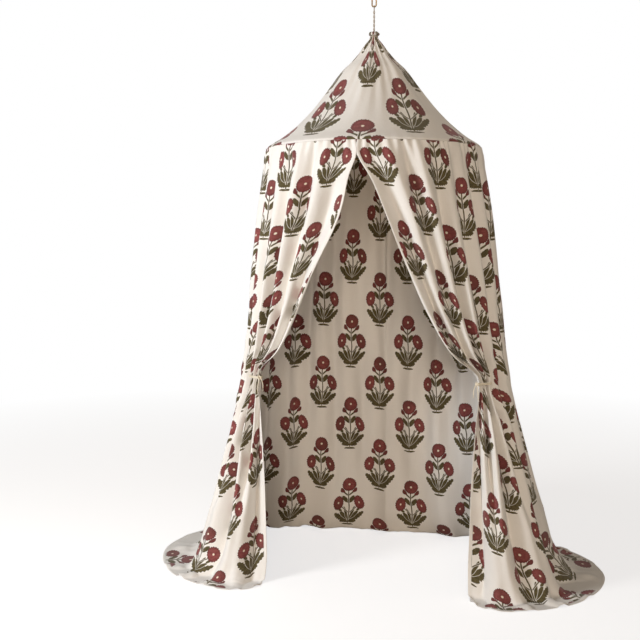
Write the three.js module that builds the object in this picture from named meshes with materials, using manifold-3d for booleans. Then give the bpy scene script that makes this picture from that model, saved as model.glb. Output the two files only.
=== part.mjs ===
// Bed crown canopy: a cone roof and four long drapes of printed cotton on a cane hoop, hung by
// a doubled cord from a brass snap link and a swivel eye under a brass ceiling plate.
// Millimetres, +Z up, front at -Y. The origin is the middle of the ceiling plate's top face.
import * as THREE from 'three';
import { mergeVertices } from 'three/addons/utils/BufferGeometryUtils.js';
import Module from 'manifold-3d';

const wasm = await Module();
wasm.setup();

// The ceiling and the tie-backs above the floor, and the hoop below the ceiling
const ceilingHeight = 2610;
const hoopDrop = 720;
const tieHeight = 905;
const floorZ = -ceilingHeight;
const hoopZ = -hoopDrop;
const tieZ = tieHeight - ceilingHeight;

// Clearances: between pieces that touch, and the overrun of every cut
const gap = 0.3;
const cutOver = 2;

// Cotton cloth
const clothThickness = 2.4;
const halfCloth = clothThickness / 2;

// Cane hoop, its two joining ferrules and the cloth casing round them
const hoopRadius = 450;
const caneRadius = 4;
const ferruleWall = 1.2;
const ferruleLength = 60;
const ferruleGapHalf = 0.5;
const casingWall = 2;
const ferruleInner = caneRadius + gap;
const ferruleOuter = ferruleInner + ferruleWall;
const casingInner = ferruleOuter + gap;
const casingOuter = casingInner + casingWall;
const casingMouthAngle = Math.PI / 3;

// Ceiling plate with its spigot and three countersunk screw holes
const plateRadius = 32;
const plateThickness = 3;
const plateEdge = 0.8;
const spigotRadius = 8.7;
const spigotDepth = 5;
const screwHoleRadius = 2.2;
const screwHeadRadius = 4.4;
const screwHeadDepth = 2;
const screwCircleRadius = 23;
const screwCount = 3;

// Swivel cup on the spigot, and the washer and eye that turn in it
const cupRadius = 14;
const cupLip = 1.6;
const cupDepth = 17;
const cupFloor = 6;
const cupNoseRadius = 8;
const stemRadius = 3.5;
const washerRadius = 8;
const washerThickness = 1.2;
const stemHeadRadius = 6;
const stemHeadHeight = 2.4;
const eyeWire = 2.5;
const eyeHoleRadius = 8;
const stemShow = 6;

// Snap link
const linkWire = 3;
const linkWidth = 24;
const linkHeight = 76;
const linkNoseDrop = 19;
const linkHingeRise = 20;
const lapHeight = 4;
const tangHalf = 1;
const pinRadius = 0.9;

// Hanging cord, its stopper knot and the turned wooden plug under the roof's neck
const cordRadius = 2;
const cordLegOffset = 2.3;
const cordMergeLength = 14;
const plugBore = 6;
const plugTopRadius = 15;
const plugTopInset = 8;
const plugTopThickness = 4;
const plugEdge = 3;
const knotRadius = 9;

// Roof: a gathered knob bound on at its neck, then the cone down to the hoop
const cordShow = 103;
const knobHeight = 16;
const knobTopRadius = 7.5;
const knobRadius = 21;
const knobFlute = 1.5;
const neckHeight = 8;
const neckRadius = 14;
const bindingWall = 2.4;
const bindingInset = 1;
const roofFlute = 5;

// Skirt: reach of the cloth at the tie, where it meets the floor, and out to its hem
const waistReach = 585;
const landingReach = 790;
const poolReach = 1030;
const slitHalf = 3;
const seamHalf = 0.6;
const foldDepth = 32;
const restLift = 0.4;
const tieNeckHalf = 8;

// Tie-back cords and their knots
const tieCordRadius = 2.5;
const tieKnotRadius = 8;
const tieTailLength = 55;

const cloth = new THREE.MeshStandardMaterial({ color: 0xe9e2d6, roughness: 0.9, metalness: 0 });
const brass = new THREE.MeshStandardMaterial({ color: 0x9a7a45, roughness: 0.35, metalness: 1 });
const cotton = new THREE.MeshStandardMaterial({ color: 0xd9cdb6, roughness: 0.95, metalness: 0 });
const cane = new THREE.MeshStandardMaterial({ color: 0xc9a26b, roughness: 0.6, metalness: 0 });
const beech = new THREE.MeshStandardMaterial({ color: 0xcfa877, roughness: 0.55, metalness: 0 });

const canopy = new THREE.Group();

function toSolid(geometry) {
  const bare = new THREE.BufferGeometry();
  bare.setAttribute('position', geometry.getAttribute('position').clone());
  if (geometry.index) bare.setIndex(geometry.index.clone());
  const merged = mergeVertices(bare);
  const mesh = new wasm.Mesh({
    numProp: 3,
    vertProperties: Float32Array.from(merged.getAttribute('position').array),
    triVerts: Uint32Array.from(merged.index.array),
  });
  return new wasm.Manifold(mesh);
}

function toGeometry(solid) {
  const mesh = solid.getMesh();
  const geometry = new THREE.BufferGeometry();
  geometry.setAttribute('position', new THREE.BufferAttribute(mesh.vertProperties, 3));
  geometry.setIndex(new THREE.BufferAttribute(mesh.triVerts, 1));
  geometry.computeVertexNormals();
  return geometry;
}

function addPiece(name, geometry, material) {
  const mesh = new THREE.Mesh(geometry, material);
  mesh.name = name;
  canopy.add(mesh);
}

// A turned piece about +Z from [radius, z] points, listed from the bottom outwards and up
function turned(points, segments) {
  const profile = points.map(([radius, z]) => new THREE.Vector2(radius, z));
  const geometry = new THREE.LatheGeometry(profile, segments);
  geometry.rotateX(Math.PI / 2);
  return geometry;
}

function roundBar(radius, low, high, segments) {
  return turned([[0, low], [radius, low], [radius, high], [0, high]], segments);
}

// A path whose steps fall on its stations, close together in a bend and far apart on a straight
class StationPath extends THREE.CatmullRomCurve3 {
  getUtoTmapping(share) {
    return share;
  }
}

// A solid tube of one radius with a ring at each station
function tube(stations, radius, sides) {
  const path = new StationPath(stations, false, 'centripetal');
  const ring = new THREE.Shape();
  for (let i = 0; i < sides; i += 1) {
    const turn = (i / sides) * 2 * Math.PI;
    const corner = [radius * Math.cos(turn), radius * Math.sin(turn)];
    if (i === 0) ring.moveTo(...corner);
    else ring.lineTo(...corner);
  }
  ring.closePath();
  const steps = stations.length - 1;
  return new THREE.ExtrudeGeometry(ring, { steps, bevelEnabled: false, extrudePath: path });
}

// A closed thin sheet about the middle surface that at(column, row) gives
function sheetSolid(at, columns, rows, thickness, wraps) {
  const wide = wraps ? columns : columns + 1;
  const column = (i) => (wraps ? (i + columns) % columns : i);
  const get = (i, j) => at(column(i), Math.min(Math.max(j, 0), rows));
  const positions = [];
  for (const side of [1, -1]) {
    for (let j = 0; j <= rows; j += 1) {
      for (let i = 0; i < wide; i += 1) {
        const across = get(i + 1, j).clone().sub(get(i - 1, j));
        const down = get(i, j + 1).clone().sub(get(i, j - 1));
        const normal = across.cross(down).normalize().multiplyScalar((side * thickness) / 2);
        positions.push(...get(i, j).clone().add(normal).toArray());
      }
    }
  }
  const back = wide * (rows + 1);
  const index = [];
  const id = (i, j, offset) => offset + j * wide + column(i);
  const quad = (a, b, c, d) => index.push(a, b, c, a, c, d);
  for (let j = 0; j < rows; j += 1) {
    for (let i = 0; i < columns; i += 1) {
      quad(id(i, j, 0), id(i + 1, j, 0), id(i + 1, j + 1, 0), id(i, j + 1, 0));
      quad(id(i, j, back), id(i, j + 1, back), id(i + 1, j + 1, back), id(i + 1, j, back));
    }
  }
  for (let i = 0; i < columns; i += 1) {
    quad(id(i, 0, back), id(i + 1, 0, back), id(i + 1, 0, 0), id(i, 0, 0));
    quad(id(i, rows, 0), id(i + 1, rows, 0), id(i + 1, rows, back), id(i, rows, back));
  }
  for (let j = 0; j < rows && !wraps; j += 1) {
    quad(id(0, j, 0), id(0, j + 1, 0), id(0, j + 1, back), id(0, j, back));
    quad(id(columns, j, back), id(columns, j + 1, back), id(columns, j + 1, 0), id(columns, j, 0));
  }
  const geometry = new THREE.BufferGeometry();
  geometry.setAttribute('position', new THREE.Float32BufferAttribute(positions, 3));
  geometry.setIndex(index);
  geometry.computeVertexNormals();
  return geometry;
}

const point = (x, y, z) => new THREE.Vector3(x, y, z);

// Ceiling plate: a flat disc, a spigot below it and three screw holes countersunk from below
const plateUnder = -plateThickness;
const spigotEnd = plateUnder - spigotDepth;
let plate = toSolid(turned([
  [0, spigotEnd], [spigotRadius, spigotEnd], [spigotRadius, plateUnder],
  [plateRadius - plateEdge, plateUnder], [plateRadius, plateUnder + plateEdge],
  [plateRadius, 0], [0, 0],
], 48));
for (let i = 0; i < screwCount; i += 1) {
  const turn = (i / screwCount) * 2 * Math.PI + Math.PI / 2;
  const hole = turned([
    [0, plateUnder - cutOver], [screwHeadRadius, plateUnder - cutOver],
    [screwHeadRadius, plateUnder], [screwHoleRadius, plateUnder + screwHeadDepth],
    [screwHoleRadius, cutOver], [0, cutOver],
  ], 16);
  hole.translate(screwCircleRadius * Math.cos(turn), screwCircleRadius * Math.sin(turn), 0);
  plate = plate.subtract(toSolid(hole));
}
addPiece('ceiling_plate', toGeometry(plate), brass);

// Swivel cup: it screws onto the spigot and its floor carries the washer and the eye
const cupTop = plateUnder - gap;
const cupBottom = cupTop - cupDepth;
const cupFloorTop = cupBottom + cupFloor;
const cupBore = spigotRadius + gap;
const stemBore = stemRadius + gap;
addPiece('swivel_cup', turned([
  [stemBore, cupBottom], [cupNoseRadius, cupBottom], [cupRadius - cupLip, cupFloorTop],
  [cupRadius - cupLip, cupTop - cupLip], [cupRadius, cupTop - cupLip], [cupRadius, cupTop],
  [cupBore, cupTop], [cupBore, cupFloorTop], [stemBore, cupFloorTop], [stemBore, cupBottom],
], 32), brass);

const washerLow = cupFloorTop + gap;
const washerHigh = washerLow + washerThickness;
addPiece('swivel_washer', turned([
  [stemBore, washerLow], [washerRadius, washerLow], [washerRadius, washerHigh],
  [stemBore, washerHigh], [stemBore, washerLow],
], 24), brass);

// Swivel eye: riveted head, stem through the cup and a ring across the link
const headLow = washerHigh + gap;
const stemLow = cupBottom - stemShow;
const eyeRingRadius = eyeHoleRadius + eyeWire;
const eyeZ = stemLow - eyeRingRadius;
const eyeStem = turned([
  [0, stemLow - eyeWire], [stemRadius, stemLow - eyeWire], [stemRadius, headLow],
  [stemHeadRadius, headLow], [stemHeadRadius, headLow + stemHeadHeight],
  [0, headLow + stemHeadHeight],
], 24);
const eyeRing = new THREE.TorusGeometry(eyeRingRadius, eyeWire, 10, 24);
eyeRing.rotateY(Math.PI / 2);
eyeRing.translate(0, 0, eyeZ);
addPiece('swivel_eye', toGeometry(toSolid(eyeStem).add(toSolid(eyeRing))), brass);

// Snap link: an oval of round bar in the XZ plane, open on its left side for the gate
const linkTop = eyeZ - eyeHoleRadius + gap + 2 * linkWire;
const linkSideX = linkWidth / 2 - linkWire;
const linkBottom = linkTop - linkHeight;
const linkArcTop = linkTop - linkWidth / 2;
const linkArcBottom = linkBottom + linkWidth / 2;
const noseZ = linkTop - linkNoseDrop;
const hingeZ = linkBottom + linkHingeRise;
const barEndZ = hingeZ - linkWire - gap;
const linkArcSteps = 8;
const linkPath = [point(-linkSideX, 0, noseZ)];
for (let i = 0; i <= linkArcSteps; i += 1) {
  const turn = Math.PI - (i / linkArcSteps) * Math.PI;
  linkPath.push(point(linkSideX * Math.cos(turn), 0, linkArcTop + linkSideX * Math.sin(turn)));
}
for (let i = 0; i <= linkArcSteps; i += 1) {
  const turn = -(i / linkArcSteps) * Math.PI;
  linkPath.push(point(linkSideX * Math.cos(turn), 0, linkArcBottom + linkSideX * Math.sin(turn)));
}
linkPath.push(point(-linkSideX, 0, barEndZ));

function boxBetween(low, high) {
  const size = high.clone().sub(low);
  const middle = low.clone().add(high).multiplyScalar(1 / 2);
  return toSolid(new THREE.BoxGeometry(...size.toArray()).translate(...middle.toArray()));
}

function crossBar(radius, halfLength, x, z, segments) {
  const bar = roundBar(radius, -halfLength, halfLength, segments);
  bar.rotateX(Math.PI / 2);
  bar.translate(x, 0, z);
  return toSolid(bar);
}

const lapFace = noseZ + lapHeight;
const tangRadius = linkWire - gap;
const pinHole = crossBar(pinRadius + gap, linkWire + cutOver, -linkSideX, hingeZ, 12);
const tang = crossBar(tangRadius, tangHalf, -linkSideX, hingeZ, 16).add(boxBetween(
  point(-linkSideX - tangRadius, -tangHalf, barEndZ - cutOver),
  point(-linkSideX + tangRadius, tangHalf, hingeZ),
));
const link = toSolid(tube(linkPath, linkWire, 12))
  .subtract(boxBetween(
    point(-linkSideX, -linkWire - cutOver, noseZ - cutOver),
    point(-linkSideX + linkWire + cutOver, linkWire + cutOver, lapFace),
  ))
  .add(tang)
  .subtract(pinHole);
addPiece('snap_link', toGeometry(link), brass);

// Gate: a bar that swings inwards on its pin, forked round the tang and lapped at the nose
const gateTop = lapFace - gap;
const gateBar = roundBar(linkWire, hingeZ, gateTop, 12).translate(-linkSideX, 0, 0);
const gateFoot = new THREE.SphereGeometry(linkWire, 12, 8).rotateX(Math.PI / 2);
gateFoot.translate(-linkSideX, 0, hingeZ);
const forkTop = hingeZ + linkWire + 2 * gap;
const forkHalf = tangHalf + gap;
const gate = toSolid(gateBar)
  .add(toSolid(gateFoot))
  .subtract(boxBetween(
    point(-linkSideX - linkWire - cutOver, -forkHalf, hingeZ - linkWire - cutOver),
    point(-linkSideX + linkWire + cutOver, forkHalf, forkTop),
  ))
  .subtract(boxBetween(
    point(-linkSideX - linkWire - cutOver, -linkWire - cutOver, noseZ - gap),
    point(-linkSideX + gap, linkWire + cutOver, gateTop + cutOver),
  ))
  .subtract(pinHole);
addPiece('link_gate', toGeometry(gate), brass);
addPiece('gate_pin', toGeometry(crossBar(pinRadius, linkWire - gap, -linkSideX, hingeZ, 10)), brass);

// Heights of the roof, from the cord's visible length
const apexZ = linkBottom - cordShow;
const neckTopZ = apexZ - knobHeight;
const roofTopZ = neckTopZ - neckHeight;
const roofEdgeZ = hoopZ + casingOuter + gap + halfCloth;
const roofHeight = roofTopZ - roofEdgeZ;

// Rows of the knob, the neck and the cone, whose shares are of its height and the hoop's radius
const knobShares = [[0.35, 0.9], [0.75, 1]];
const coneShares = [
  [0.06, 0.078], [0.125, 0.127], [0.2, 0.19], [0.3, 0.295], [0.45, 0.413], [0.66, 0.59],
  [0.83, 0.769], [0.93, 0.9], [1, 1],
];
const roofRows = [
  [apexZ, knobTopRadius, 0],
  ...knobShares.map(([down, out]) => [apexZ - down * knobHeight, out * knobRadius, knobFlute]),
  [neckTopZ, neckRadius, 0],
  [roofTopZ, neckRadius, 0],
  ...coneShares.map(([down, out]) => [
    roofTopZ - down * roofHeight, hoopRadius * out, roofFlute * Math.sin(Math.PI * down),
  ]),
];
const roofColumns = 32;
const roofFluteCount = 8;
addPiece('cone_roof', sheetSolid((i, j) => {
  const [z, radius, flute] = roofRows[j];
  const turn = -(i / roofColumns) * 2 * Math.PI;
  const out = radius + flute * Math.cos(roofFluteCount * turn);
  return point(out * Math.sin(turn), -out * Math.cos(turn), z);
}, roofColumns, roofRows.length - 1, clothThickness, true), cloth);

// Cotton binding wound round the neck
const bindingInner = neckRadius + halfCloth + gap;
const bindingOuter = bindingInner + bindingWall;
const bindingLow = roofTopZ + bindingInset;
const bindingHigh = neckTopZ - bindingInset;
addPiece('neck_binding', turned([
  [bindingInner, bindingLow], [bindingOuter - bindingInset, bindingLow],
  [bindingOuter, bindingLow + bindingInset], [bindingOuter, bindingHigh - bindingInset],
  [bindingOuter - bindingInset, bindingHigh], [bindingInner, bindingHigh],
  [bindingInner, bindingLow],
], 32), cotton);

// Turned plug: the cloth is bound on in its groove and its skirt fits the top of the cone.
// The cord's knot holds it up
const [coneFirstDown, coneFirstOut] = coneShares[0];
const plugDepth = coneFirstDown * roofHeight;
const plugSpread = coneFirstOut * hoopRadius - neckRadius;
const plugClear = (halfCloth + gap) * Math.hypot(plugDepth, plugSpread) / plugDepth;
const grooveRadius = neckRadius - plugClear;
const plugUnder = roofTopZ - plugDepth;
const plugFluteClear = roofFlute * Math.sin(Math.PI * coneFirstDown);
const plugRadius = grooveRadius + plugSpread * (1 - plugEdge / plugDepth) - plugFluteClear;
const plugTopLow = apexZ - plugTopInset - plugTopThickness;
addPiece('apex_plug', turned([
  [plugBore, plugUnder], [plugRadius - plugEdge, plugUnder], [plugRadius, plugUnder + plugEdge],
  [grooveRadius, roofTopZ], [grooveRadius, neckTopZ], [plugTopRadius, plugTopLow],
  [plugTopRadius, plugTopLow + plugTopThickness], [plugBore, plugTopLow + plugTopThickness],
  [plugBore, plugUnder],
], 32), beech);

const knotTop = plugUnder - gap;
const knotShares = [[0, 2], [0.5, 1.9], [0.9, 1.5], [1, 1], [0.9, 0.5], [1, 0], [0, 0]];
addPiece('cord_knot', turned(
  knotShares.map(([out, down]) => [out * knotRadius, knotTop - down * knotRadius]), 16,
), cotton);

// Hanging cord: up one leg, over the link's lower bend, and down the other leg to the knot
const cordBendZ = linkBottom + linkWire;
const cordBendRadius = linkWire + gap + cordRadius;
const cordLow = plugUnder;
const cordLegTop = cordBendZ - cordMergeLength;
const cordBendSteps = 8;
const cordLeg = (side) => [
  point(0, side * cordLegOffset, cordLow), point(0, side * cordLegOffset, cordLegTop),
];
const cordBend = [];
for (let i = 0; i <= cordBendSteps; i += 1) {
  const turn = (i / cordBendSteps) * Math.PI;
  const height = cordBendRadius * Math.sin(turn);
  cordBend.push(point(0, cordBendRadius * Math.cos(turn), cordBendZ + height));
}
const cordStations = [...cordLeg(1), ...cordBend, ...cordLeg(-1).reverse()];
addPiece('hanging_cord', tube(cordStations, cordRadius, 8), cotton);

// Hoop: two half rounds of cane, butted at the sides inside brass ferrules. Cane, ferrules and
// casing all follow one many-sided ring
const hoopSides = 48;
const hoopStep = (2 * Math.PI) / hoopSides;
function hoopAt(turn) {
  const side = Math.floor(turn / hoopStep);
  const corner = (n) => point(
    hoopRadius * Math.cos(n * hoopStep), hoopRadius * Math.sin(n * hoopStep), hoopZ,
  );
  return corner(side).lerp(corner(side + 1), turn / hoopStep - side);
}

const caneEndTurn = ferruleGapHalf / hoopRadius;
for (const [name, start] of [['hoop_back', 0], ['hoop_front', Math.PI]]) {
  const stations = [hoopAt(start + caneEndTurn)];
  for (let n = 1; n < hoopSides / 2; n += 1) stations.push(hoopAt(start + n * hoopStep));
  stations.push(hoopAt(start + Math.PI - caneEndTurn));
  addPiece(name, tube(stations, caneRadius, 8), cane);
}

const ferruleHalfTurn = ferruleLength / 2 / hoopRadius;
const ferruleBoreTurn = ferruleHalfTurn + cutOver / hoopRadius;
for (const [name, middle] of [['ferrule_right', 0], ['ferrule_left', Math.PI]]) {
  const about = (half) => [middle - half, middle, middle + half].map(hoopAt);
  const sleeve = toSolid(tube(about(ferruleHalfTurn), ferruleOuter, 16));
  const bore = toSolid(tube(about(ferruleBoreTurn), ferruleInner, 16));
  addPiece(name, toGeometry(sleeve.subtract(bore)), brass);
}

// Casing: a sewn channel round the hoop, open along its inner side
const casingSteps = 8;
const casingHalfStep = (2 * Math.PI - casingMouthAngle) / casingSteps / 2;
const casingProfile = [];
for (const [radius, way] of [[casingOuter, 1], [casingInner / Math.cos(casingHalfStep), -1]]) {
  for (let i = 0; i <= casingSteps; i += 1) {
    const share = way > 0 ? i / casingSteps : 1 - i / casingSteps;
    const turn = casingMouthAngle / 2 + share * (2 * Math.PI - casingMouthAngle) - Math.PI;
    casingProfile.push([hoopRadius + radius * Math.cos(turn), hoopZ + radius * Math.sin(turn)]);
  }
}
casingProfile.push(casingProfile[0]);
addPiece('hoop_casing', turned(casingProfile, hoopSides), cloth);

// Skirt. Stations run from the slit (0) to the middle of the back (1): the share of the half
// round, then x and y as shares of the cloth's reach at the tie, at the floor and at the hem
const waistShares = [
  [0, 0.8, -0.3], [0.08, 0.82, -0.28], [0.16, 0.845, -0.26], [0.3, 0.895, -0.215],
  [0.42, 0.98, -0.05], [0.5, 1, 0.14], [0.56, 0.98, 0.32], [0.65, 0.88, 0.52],
  [0.8, 0.54, 0.76], [1, 0, 0.83],
];
const landingShares = [
  [0, 0.56, -0.215], [0.08, 0.63, -0.26], [0.16, 0.735, -0.265], [0.26, 0.86, -0.235],
  [0.36, 0.96, -0.12], [0.44, 1, 0.05], [0.5, 1, 0.22], [0.56, 0.96, 0.39],
  [0.65, 0.83, 0.55], [0.8, 0.48, 0.66], [1, 0, 0.68],
];
const hemShares = [
  [0, 0.437, -0.262], [0.08, 0.505, -0.31], [0.16, 0.602, -0.32], [0.26, 0.748, -0.262],
  [0.36, 0.874, -0.165], [0.44, 0.97, 0], [0.5, 1, 0.175], [0.56, 0.94, 0.37],
  [0.65, 0.777, 0.534], [0.8, 0.447, 0.63], [1, 0, 0.65],
];

// Smooth curve through the stations; the back of the skirt mirrors across the middle
function throughShares(shares, share, reach) {
  const [beforeLast, last] = shares.slice(-2);
  const ghost = [2 * last[0] - beforeLast[0], -beforeLast[1], beforeLast[2]];
  const all = [...shares, ghost];
  let k = 0;
  while (k < shares.length - 2 && share > shares[k + 1][0]) k += 1;
  const width = all[k + 1][0] - all[k][0];
  const part = (share - all[k][0]) / width;
  const slope = (n, axis) => {
    const low = all[Math.max(n - 1, 0)];
    const high = all[n + 1];
    return (high[axis] - low[axis]) / (high[0] - low[0]);
  };
  const at = (axis) => {
    const cube = part ** 3;
    const square = part ** 2;
    return (2 * cube - 3 * square + 1) * all[k][axis] + (3 * square - 2 * cube) * all[k + 1][axis]
      + width * ((cube - 2 * square + part) * slope(k, axis) + (cube - square) * slope(k + 1, axis));
  };
  return point(reach * at(1), reach * at(2), 0);
}

function brimAt(share) {
  const turn = Math.PI * share;
  return point(hoopRadius * Math.sin(turn), -hoopRadius * Math.cos(turn), 0);
}

// Rows of the skirt: above the tie [share of the drop, of the fold], below it [share of the
// height, of the way to the landing, of the way on to the hem, of the fold]
const upperShares = [
  [0, 0.16], [0.13, 0.4], [0.3, 0.6], [0.5, 0.66], [0.7, 0.66], [0.87, 0.66], [1, 0.72],
];
const lowerShares = [
  [1, 0, 0, 0.72], [0.82, 0.2, 0, 0.85], [0.62, 0.42, 0, 1], [0.42, 0.62, 0, 1],
  [0.24, 0.8, 0.02, 1], [0.1, 0.95, 0.1, 0.85], [0.025, 1, 0.3, 0.6], [0, 1, 0.65, 0.47],
  [0, 1, 1, 0.34],
];
const skirtTopZ = hoopZ - casingOuter - gap;
const tieNeckTop = tieZ + tieNeckHalf;
const tieNeckLow = tieZ - tieNeckHalf;
const skirtRows = upperShares.length + lowerShares.length - 1;
const swagEndShare = 0.45;
const swagPower = 7;
const swagPull = 0.22;

function skirtBase(share, row) {
  const waist = throughShares(waistShares, share, waistReach);
  if (row < upperShares.length) {
    const [drop] = upperShares[row];
    const pull = swagPull * Math.max(0, 1 - share / swagEndShare);
    const sweep = drop + pull * (drop ** swagPower - drop);
    return brimAt(share).lerp(waist, sweep).setZ(skirtTopZ + drop * (tieNeckTop - skirtTopZ));
  }
  const [height, landed, spread] = lowerShares[row - upperShares.length];
  const landing = throughShares(landingShares, share, landingReach);
  const hem = throughShares(hemShares, share, poolReach);
  const out = hem.clone().sub(landing).multiplyScalar(spread);
  return waist.lerp(landing, landed).add(out).setZ(floorZ + height * (tieNeckLow - floorZ));
}

const foldOf = (row) => foldDepth * (row < upperShares.length
  ? upperShares[row][1] : lowerShares[row - upperShares.length][3]);
const foldsPerHalf = 12.5;
const steepestFoldShare = 0.38;
const probe = 1e-3;

function skirtPoint(side, share, row) {
  const base = skirtBase(share, row);
  const across = skirtBase(share + probe, row).sub(skirtBase(share - probe, row));
  const below = skirtBase(share, Math.min(row + 1, skirtRows));
  const down = below.sub(skirtBase(share, Math.max(row - 1, 0)));
  const outward = down.cross(across).normalize();
  const foldWidth = across.length() / (2 * probe) / foldsPerHalf;
  const depth = Math.min(foldOf(row), steepestFoldShare * foldWidth);
  const fold = depth * Math.cos(2 * Math.PI * foldsPerHalf * share);
  const spot = base.add(outward.multiplyScalar(fold));
  spot.z = Math.max(spot.z, floorZ + halfCloth + restLift);
  spot.x *= side;
  return spot;
}

const sideShare = 0.56;
const slitShare = slitHalf / (Math.PI * hoopRadius);
const seamShare = seamHalf / (Math.PI * hoopRadius);
const frontEndShare = sideShare - seamShare;
const frontColumns = 28;
const backColumns = 22;
const panels = [
  ['front', slitShare, frontEndShare, frontColumns],
  ['back', sideShare + seamShare, 1 - seamShare, backColumns],
];
for (const [hand, side] of [['right', 1], ['left', -1]]) {
  for (const [name, from, to, columns] of panels) {
    addPiece(`${name}_${hand}_drape`, sheetSolid(
      (i, j) => skirtPoint(side, from + (i / columns) * (to - from), j),
      columns, skirtRows, clothThickness, false,
    ), cloth);
  }
}

// Tie-back cords: each draws the front of a drape into a bunch. A cord starts on the cloth's
// outer face, runs tight round the bunch past the free front edge and ends on the inner face
const bunchColumns = 14;
const cornerStations = 2;
const betweenShares = [0, 1 / 3, 2 / 3];
const tieCordSeat = halfCloth + gap + tieCordRadius;
const waistRow = upperShares.length - 1;
const flat = (spot) => [spot.x, spot.y];

function waistLine(from, to, count) {
  const line = [];
  for (let i = 0; i <= count; i += 1) {
    line.push(flat(skirtPoint(1, from + (i / count) * (to - from), waistRow)));
  }
  return line;
}

function hull(points) {
  const sorted = [...points].sort((a, b) => a[0] - b[0] || a[1] - b[1]);
  const turnOf = (o, a, b) => (a[0] - o[0]) * (b[1] - o[1]) - (a[1] - o[1]) * (b[0] - o[0]);
  const half = (list) => {
    const chain = [];
    for (const spot of list) {
      while (chain.length > 1 && turnOf(chain.at(-2), chain.at(-1), spot) <= 0) chain.pop();
      chain.push(spot);
    }
    return chain.slice(0, -1);
  };
  return [...half(sorted), ...half(sorted.reverse())];
}

// The hull moved out by one distance: each corner gets a small arc of stations
function around(corners, distance, arcSteps) {
  const path = [];
  const count = corners.length;
  const edgeTurn = (a, b) => Math.atan2(-(b[0] - a[0]), b[1] - a[1]);
  for (let i = 0; i < count; i += 1) {
    const here = corners[i];
    const from = edgeTurn(corners[(i + count - 1) % count], here);
    const to = edgeTurn(here, corners[(i + 1) % count]);
    const swing = ((to - from) % (2 * Math.PI) + 2 * Math.PI) % (2 * Math.PI);
    const reach = distance / Math.cos(swing / arcSteps / 2);
    for (let k = 0; k < arcSteps; k += 1) {
      const turn = from + ((k + 1 / 2) / arcSteps) * swing;
      path.push([here[0] + reach * Math.cos(turn), here[1] + reach * Math.sin(turn)]);
    }
  }
  return path;
}

function distanceToLine(spot, line) {
  let least = Infinity;
  for (let i = 0; i + 1 < line.length; i += 1) {
    const [a, b] = [line[i], line[i + 1]];
    const run = [b[0] - a[0], b[1] - a[1]];
    const along = ((spot[0] - a[0]) * run[0] + (spot[1] - a[1]) * run[1]) / (run[0] ** 2 + run[1] ** 2);
    const share = Math.min(Math.max(along, 0), 1);
    const away = Math.hypot(a[0] + share * run[0] - spot[0], a[1] + share * run[1] - spot[1]);
    least = Math.min(least, away);
  }
  return least;
}

const bunchEndShare = slitShare + (bunchColumns / frontColumns) * (frontEndShare - slitShare);
const bunch = hull(waistLine(slitShare, bunchEndShare, bunchColumns));
const leavingLine = waistLine(bunchEndShare, frontEndShare, frontColumns - bunchColumns);
const tieRing = around(bunch, tieCordSeat, cornerStations).flatMap((spot, i, ring) => {
  const next = ring[(i + 1) % ring.length];
  return betweenShares.map((k) => spot.map((value, axis) => value + k * (next[axis] - value)));
});
const meetsCloth = (spot) => distanceToLine(spot, leavingLine) < tieCordSeat;
const tieStart = tieRing.findIndex(meetsCloth) + 1;
const tiePath = [...tieRing.slice(tieStart), ...tieRing.slice(0, tieStart)]
  .filter((spot) => !meetsCloth(spot));

// The knot sits at the front inner corner of the bunch, round the cord, with two short tails
const knotFacing = [0.8, 0.6];
const facing = (spot) => spot[0] * knotFacing[0] + spot[1] * knotFacing[1];
const knotSeat = tiePath.reduce((best, spot) => (facing(spot) < facing(best) ? spot : best));
const bunchMiddle = [0, 1].map((axis) => (
  bunch.reduce((sum, spot) => sum + spot[axis], 0) / bunch.length
));
const outwards = point(knotSeat[0] - bunchMiddle[0], knotSeat[1] - bunchMiddle[1], 0).normalize();
const sideways = point(-outwards.y, outwards.x, 0);
const knotMiddle = point(...knotSeat, tieZ).addScaledVector(outwards, tieKnotRadius - tieCordRadius);
// Tail stations: shares of the tail's length outwards, sideways and down
const tailShares = [[0, 0, 0], [0.12, 0.06, 0.05], [0.2, 0.12, 0.25], [0.22, 0.2, 0.6], [0.2, 0.22, 1]];

function tieTail(way) {
  return toSolid(tube(tailShares.map(([out, across, down]) => knotMiddle.clone()
    .addScaledVector(outwards, out * tieTailLength)
    .addScaledVector(sideways, way * across * tieTailLength)
    .setZ(tieZ - down * tieTailLength)), tieCordRadius, 8));
}

const tieChannel = tube(tiePath.map((spot) => point(...spot, tieZ)), tieCordRadius + gap, 8);
const knotBall = new THREE.SphereGeometry(tieKnotRadius, 12, 8).rotateX(Math.PI / 2);
knotBall.translate(...knotMiddle.toArray());
const tieKnot = toSolid(knotBall).add(tieTail(1)).add(tieTail(-1)).subtract(toSolid(tieChannel));
for (const [hand, side] of [['right', 1], ['left', -1]]) {
  const stations = tiePath.map(([x, y]) => point(side * x, y, tieZ));
  addPiece(`tie_cord_${hand}`, tube(stations, tieCordRadius, 8), cotton);
  const knot = side > 0 ? tieKnot : tieKnot.mirror([1, 0, 0]);
  addPiece(`tie_knot_${hand}`, toGeometry(knot), cotton);
}

export default canopy;
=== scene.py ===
from math import cos, pi, sin, tau

import bmesh
import bpy
import numpy as np
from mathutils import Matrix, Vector, geometry


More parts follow.
